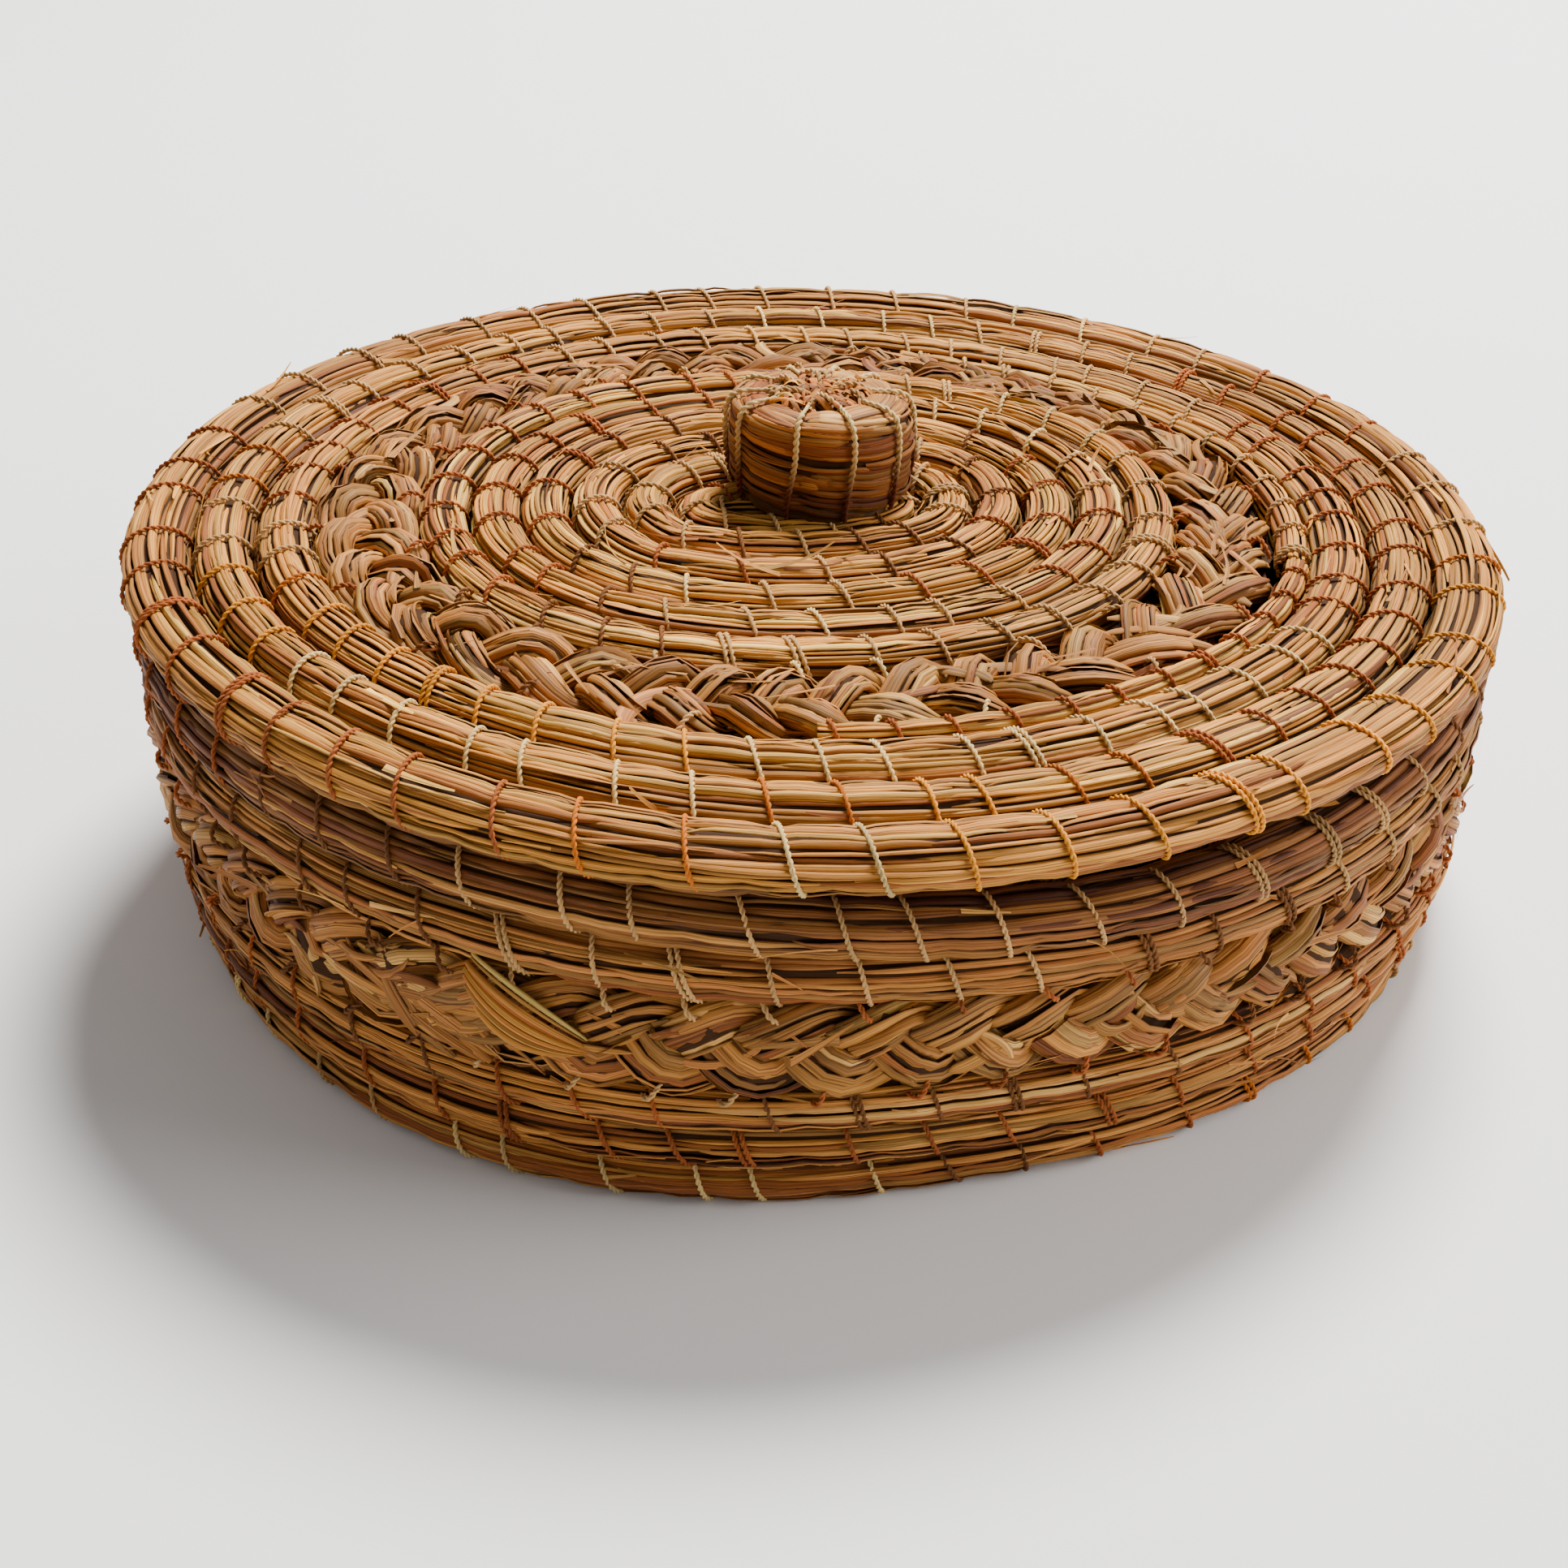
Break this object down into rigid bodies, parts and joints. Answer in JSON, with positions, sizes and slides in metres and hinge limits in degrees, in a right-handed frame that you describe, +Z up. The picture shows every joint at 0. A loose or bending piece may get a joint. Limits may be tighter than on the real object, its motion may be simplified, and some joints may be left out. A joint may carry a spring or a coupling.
{
  "type": "lidded coiled basket",
  "caption": "Low oval basket of sewn grass coils with a plaited band, and a lift-off coiled lid with a plaited ring and a round knob.",
  "frame": {"origin": "on the floor, under the middle of the basket", "axes": "+X along the long axis of the oval, +Y towards the back, +Z up"},
  "size_m": [0.3, 0.266, 0.1126],
  "materials": {
    "base_grass": "dry natural grass, matt with a faint sheen",
    "body_grass": "dry natural grass, matt with a faint sheen",
    "knob_grass": "dry natural grass, matt with a faint sheen",
    "lid_grass": "dry natural grass, matt with a faint sheen",
    "plaited_grass": "dry natural grass, matt with a faint sheen"
  },
  "bodies": {
    "basket": {"base_row_1": "base_grass", "base_row_2": "base_grass", "base_row_3": "base_grass", "base_row_4": "base_grass", "base_row_5": "base_grass", "base_row_6": "base_grass", "base_row_7": "base_grass", "base_start": "base_grass", "body_braid": "plaited_grass", "body_rim_coil": "body_grass", "bottom_row": "body_grass", "foot_row": "body_grass", "lower_row": "body_grass", "second_row": "body_grass"},
    "lid": {"knob": "knob_grass", "knob_crown": "knob_grass", "lid_braid": "plaited_grass", "lid_centre": "lid_grass", "lid_inner_row_1": "lid_grass", "lid_inner_row_2": "lid_grass", "lid_inner_row_3": "lid_grass", "lid_inner_row_4": "lid_grass", "lid_inner_row_5": "lid_grass", "lid_rim_coil": "lid_grass", "lid_row_start": "lid_grass", "lid_seat_coil": "lid_grass", "lid_second_row": "lid_grass", "lid_third_row": "lid_grass"}
  },
  "joints": [
    {"name": "lid_lift", "type": "slide", "parent": "basket", "child": "lid", "axis": [0, 0, 1], "range_m": [0, 0.1]}
  ]
}
